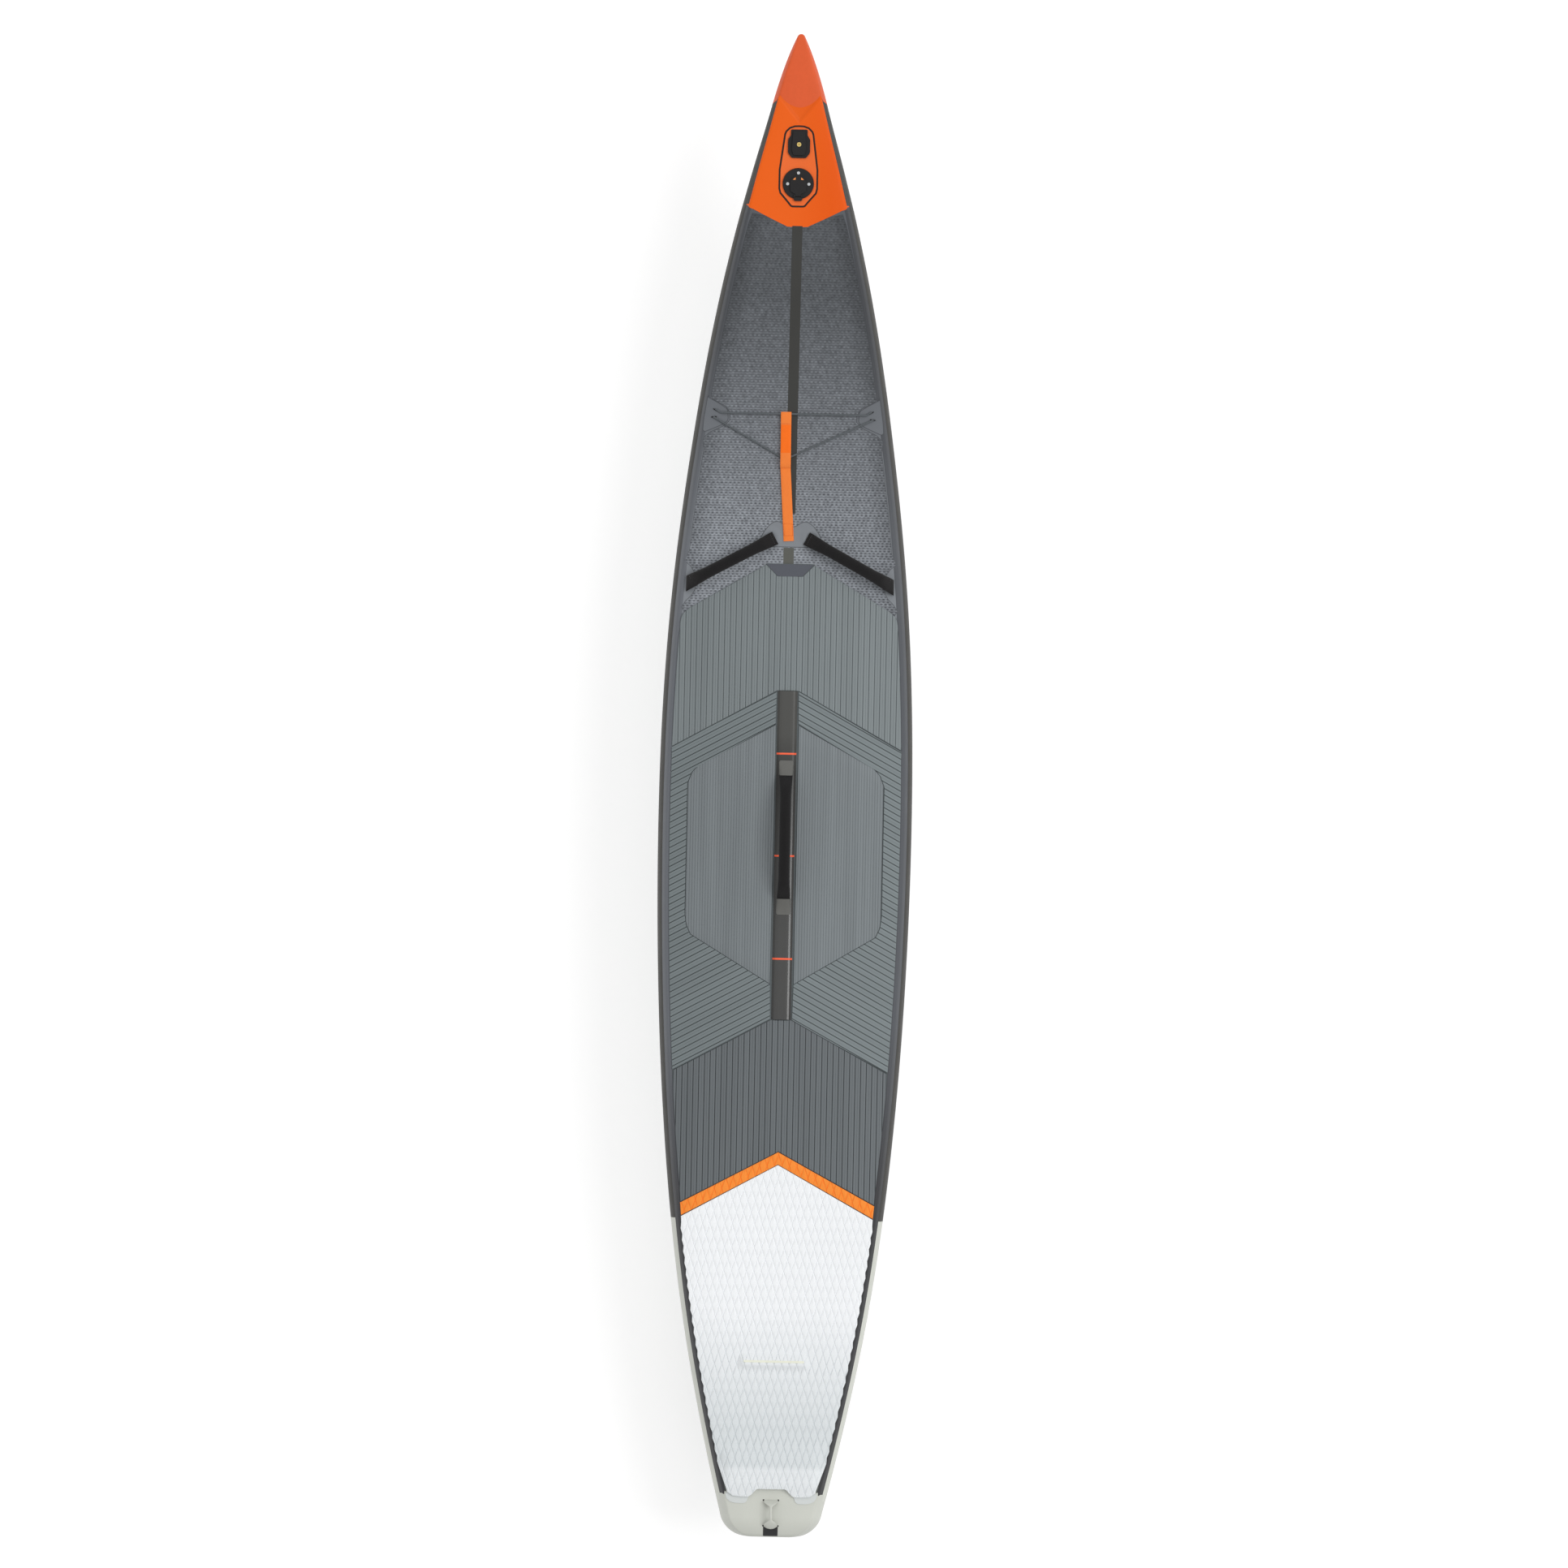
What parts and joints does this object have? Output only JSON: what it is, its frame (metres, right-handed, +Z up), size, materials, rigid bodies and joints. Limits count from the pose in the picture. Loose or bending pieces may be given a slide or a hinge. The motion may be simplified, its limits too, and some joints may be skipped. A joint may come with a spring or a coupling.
{
  "type": "stand up paddleboard",
  "caption": "Inflatable racing stand up paddleboard with grooved deck pad, cargo bungee, carry handles, deck valve, accessory insert, leash loop and a sliding fin in a fin box.",
  "frame": {"origin": "on the flat bottom face, on the centreline at mid-length", "axes": "+X towards the nose, +Y to port, +Z up from the bottom to the deck"},
  "size_m": [3.81, 0.6418, 0.4771],
  "materials": {
    "deck_fabric": "embossed grey coated fabric",
    "bottom_fabric": "smooth light grey coated fabric",
    "wall_fabric": "coated side wall fabric",
    "thread": "white polyester thread",
    "rail_dark": "satin dark grey rail tape",
    "rail_light": "satin light grey rail tape",
    "edge_tape": "satin grey seam tape",
    "nose_rubber": "matt orange moulded cap",
    "nose_orange": "satin orange panel",
    "panel_orange": "matt orange patch with a dark outline",
    "strip_dark": "dark stringer tape",
    "eva_grey": "grooved closed-cell foam",
    "eva_orange": "orange closed-cell foam",
    "eva_white": "white patterned closed-cell foam",
    "carbon": "satin woven carbon strip",
    "mark_orange": "orange inlay",
    "badge_slate": "plain moulded plate",
    "strip_cream": "pale strip",
    "neoprene": "black neoprene sleeve",
    "webbing_black": "black woven webbing",
    "webbing_orange": "orange woven webbing",
    "cord_grey": "braided elastic cord",
    "patch_grey": "smooth coated patch",
    "moulded_black": "matt black moulding",
    "brass": "machined brass",
    "steel": "stainless steel",
    "seal_rubber": "black seal rubber",
    "fin_black": "gloss moulded fin"
  },
  "bodies": {
    "hull": {"deck_skin": "deck_fabric", "bottom_skin": "bottom_fabric", "side_wall_left": "wall_fabric", "side_wall_right": "wall_fabric", "drop_stitch_threads": "thread", "rail_tape_left": "rail_dark", "rail_tape_right": "rail_dark", "tail_rail_left": "rail_light", "tail_rail_right": "rail_light", "deck_edge_tape_left": "edge_tape", "deck_edge_tape_right": "edge_tape", "bottom_edge_tape_left": "rail_light", "bottom_edge_tape_right": "rail_light", "nose_cap": "nose_rubber", "nose_panel": "nose_orange", "tail_piece": "rail_light", "stringer_strip": "strip_dark", "cargo_patch": "patch_grey", "badge": "badge_slate", "deck_pad": "eva_grey", "carbon_strip": "carbon", "strip_marks": "mark_orange", "pad_chevron": "eva_orange", "tail_pad": "eva_white", "kick_ridge": "eva_white", "kick_ridge_strip": "strip_cream", "tail_kick": "eva_white", "leash_patch": "webbing_black", "leash_loop_tabs": "rail_light", "centre_handle_tabs": "carbon", "left_handle_tabs": "webbing_black", "right_handle_tabs": "webbing_black", "cargo_bungee": "cord_grey", "cargo_strap": "webbing_orange", "bungee_anchor_left": "patch_grey", "bungee_anchor_right": "patch_grey", "accessory_panel": "panel_orange", "accessory_mount": "moulded_black", "accessory_insert": "brass", "valve_flange": "moulded_black", "valve_screws": "steel", "valve_body": "moulded_black", "valve_nut": "moulded_black", "valve_spring": "steel", "fin_box": "moulded_black"},
    "valve_cap": {"valve_cap": "moulded_black", "cap_gasket": "seal_rubber"},
    "valve_plunger": {"valve_seal": "seal_rubber"},
    "valve_button": {"valve_stem": "moulded_black"},
    "centre_handle": {"centre_handle_sleeve": "neoprene", "centre_handle_webbing": "webbing_black"},
    "left_handle": {"left_handle_sleeve": "neoprene", "left_handle_webbing": "webbing_black"},
    "right_handle": {"right_handle_sleeve": "neoprene", "right_handle_webbing": "webbing_black"},
    "leash_loop": {"leash_loop": "rail_light"},
    "fin": {"fin": "fin_black", "fin_pin": "brass", "fin_plate": "steel"},
    "fin_screw": {"fin_screw": "steel"}
  },
  "joints": [
    {"name": "valve_cap_flip", "type": "hinge", "parent": "hull", "child": "valve_cap", "pos_m": [1.494, 0, 0.1895], "axis": [0, -1, 0], "range_deg": [0, 125]},
    {"name": "valve_push", "type": "slide", "parent": "hull", "child": "valve_plunger", "axis": [0, 0, -1], "range_m": [0, 0.006], "stiffness_N_per_m": 900, "springref_m": -0.004, "deforming": ["valve_spring"]},
    {"name": "valve_turn", "type": "hinge", "parent": "valve_plunger", "child": "valve_button", "pos_m": [1.525, 0, 0.1809], "axis": [0, 0, 1], "range_deg": [0, 90]},
    {"name": "centre_handle_swing", "type": "hinge", "parent": "hull", "child": "centre_handle", "pos_m": [-0.1295, 0, 0.1751], "axis": [1, 0, 0], "range_deg": [-70, 70]},
    {"name": "left_handle_swing", "type": "hinge", "parent": "hull", "child": "left_handle", "pos_m": [0.569, 0.148, 0.1681], "axis": [-0.4746, 0.8802, 0], "range_deg": [-65, 65]},
    {"name": "right_handle_swing", "type": "hinge", "parent": "hull", "child": "right_handle", "pos_m": [0.569, -0.148, 0.1681], "axis": [0.4746, 0.8802, 0], "range_deg": [-65, 65]},
    {"name": "leash_loop_swing", "type": "hinge", "parent": "hull", "child": "leash_loop", "pos_m": [-1.8415, 0, 0.1581], "axis": [1, 0, 0], "range_deg": [-70, 70]},
    {"name": "fin_slide", "type": "slide", "parent": "hull", "child": "fin", "axis": [1, 0, 0], "range_m": [-0.044, 0.05]},
    {"name": "fin_screw_turn", "type": "hinge", "parent": "fin", "child": "fin_screw", "pos_m": [-1.432, 0, -0.02], "axis": [0, 0, 1], "continuous": true}
  ]
}
